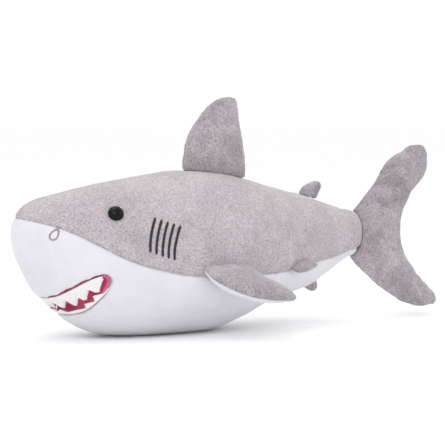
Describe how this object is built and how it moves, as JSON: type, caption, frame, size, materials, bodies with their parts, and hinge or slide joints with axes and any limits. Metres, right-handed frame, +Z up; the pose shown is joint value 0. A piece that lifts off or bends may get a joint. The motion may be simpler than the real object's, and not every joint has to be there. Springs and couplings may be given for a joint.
{
  "type": "plush shark",
  "caption": "Plush shark with grey back, white belly, stuffed fins and tail sewn on at their roots, felt teeth, stitched gills and domed eyes.",
  "frame": {"origin": "on the resting surface, under the middle of the toy's length and width", "axes": "+X towards the tail, so the head is towards -X; the left flank is towards -Y; +Z up"},
  "size_m": [0.3963, 0.1796, 0.1858],
  "materials": {
    "grey_plush": "matte",
    "white_plush": "matte",
    "pink_lining": "matte",
    "tooth_felt": "matte",
    "eye_plastic": "gloss",
    "washer_plastic": "matte",
    "black_thread": "satin",
    "taupe_thread": "satin",
    "stuffing": "matte"
  },
  "bodies": {
    "body": {"back_panel_left": "grey_plush", "back_panel_right": "grey_plush", "belly_panel": "white_plush", "body_stuffing": "stuffing", "mouth_lining": "pink_lining", "upper_teeth": "tooth_felt", "lower_teeth": "tooth_felt", "eye_left": "eye_plastic", "eye_right": "eye_plastic", "eye_washer_left": "washer_plastic", "eye_washer_right": "washer_plastic", "gill_stitching_left": "black_thread", "gill_stitching_right": "black_thread", "nostril_stitching_left": "taupe_thread", "nostril_stitching_right": "taupe_thread"},
    "dorsal_fin": {"dorsal_fin_left_cover": "grey_plush", "dorsal_fin_right_cover": "grey_plush", "dorsal_fin_stuffing": "stuffing"},
    "second_dorsal_fin": {"second_dorsal_fin_left_cover": "grey_plush", "second_dorsal_fin_right_cover": "grey_plush", "second_dorsal_fin_stuffing": "stuffing"},
    "anal_fin": {"anal_fin_left_cover": "grey_plush", "anal_fin_right_cover": "grey_plush", "anal_fin_stuffing": "stuffing"},
    "left_pectoral_fin": {"left_pectoral_fin_top_cover": "grey_plush", "left_pectoral_fin_bottom_cover": "white_plush", "left_pectoral_fin_stuffing": "stuffing"},
    "right_pectoral_fin": {"right_pectoral_fin_top_cover": "grey_plush", "right_pectoral_fin_bottom_cover": "white_plush", "right_pectoral_fin_stuffing": "stuffing"},
    "left_pelvic_fin": {"left_pelvic_fin_top_cover": "grey_plush", "left_pelvic_fin_bottom_cover": "white_plush", "left_pelvic_fin_stuffing": "stuffing"},
    "right_pelvic_fin": {"right_pelvic_fin_top_cover": "grey_plush", "right_pelvic_fin_bottom_cover": "white_plush", "right_pelvic_fin_stuffing": "stuffing"},
    "tail": {"tail_left_cover": "grey_plush", "tail_right_cover": "grey_plush", "tail_stuffing": "stuffing"}
  },
  "joints": [
    {"name": "tail_swing", "type": "hinge", "parent": "body", "child": "tail", "pos_m": [0.1045, 0, 0.0725], "axis": [0, 0, 1], "range_deg": [-30, 30], "stiffness_Nm_per_rad": 0.12},
    {"name": "dorsal_lean", "type": "hinge", "parent": "body", "child": "dorsal_fin", "pos_m": [-0.0545, 0, 0.1275], "axis": [0.9933, 0, -0.1159], "range_deg": [-20, 20], "stiffness_Nm_per_rad": 0.05},
    {"name": "second_dorsal_lean", "type": "hinge", "parent": "body", "child": "second_dorsal_fin", "pos_m": [0.0535, 0, 0.1068], "axis": [0.9514, 0, -0.3078], "range_deg": [-24, 24], "stiffness_Nm_per_rad": 0.01},
    {"name": "anal_lean", "type": "hinge", "parent": "body", "child": "anal_fin", "pos_m": [0.0545, 0, 0.028], "axis": [0.9048, 0, 0.4258], "range_deg": [-24, 24], "stiffness_Nm_per_rad": 0.01},
    {"name": "left_pectoral_flap", "type": "hinge", "parent": "body", "child": "left_pectoral_fin", "pos_m": [-0.068, -0.0568, 0.053], "axis": [0.9952, 0.0981, -0.006], "range_deg": [-34, 8], "stiffness_Nm_per_rad": 0.05},
    {"name": "right_pectoral_flap", "type": "hinge", "parent": "body", "child": "right_pectoral_fin", "pos_m": [-0.068, 0.0568, 0.053], "axis": [0.9952, -0.0981, -0.006], "range_deg": [-8, 34], "stiffness_Nm_per_rad": 0.05},
    {"name": "left_pelvic_flap", "type": "hinge", "parent": "body", "child": "left_pelvic_fin", "pos_m": [0.023, -0.0385, 0.047], "axis": [0.8955, 0.2714, 0.3528], "range_deg": [-28, 14], "stiffness_Nm_per_rad": 0.01},
    {"name": "right_pelvic_flap", "type": "hinge", "parent": "body", "child": "right_pelvic_fin", "pos_m": [0.023, 0.0385, 0.047], "axis": [0.8955, -0.2714, 0.3528], "range_deg": [-14, 28], "stiffness_Nm_per_rad": 0.01}
  ]
}
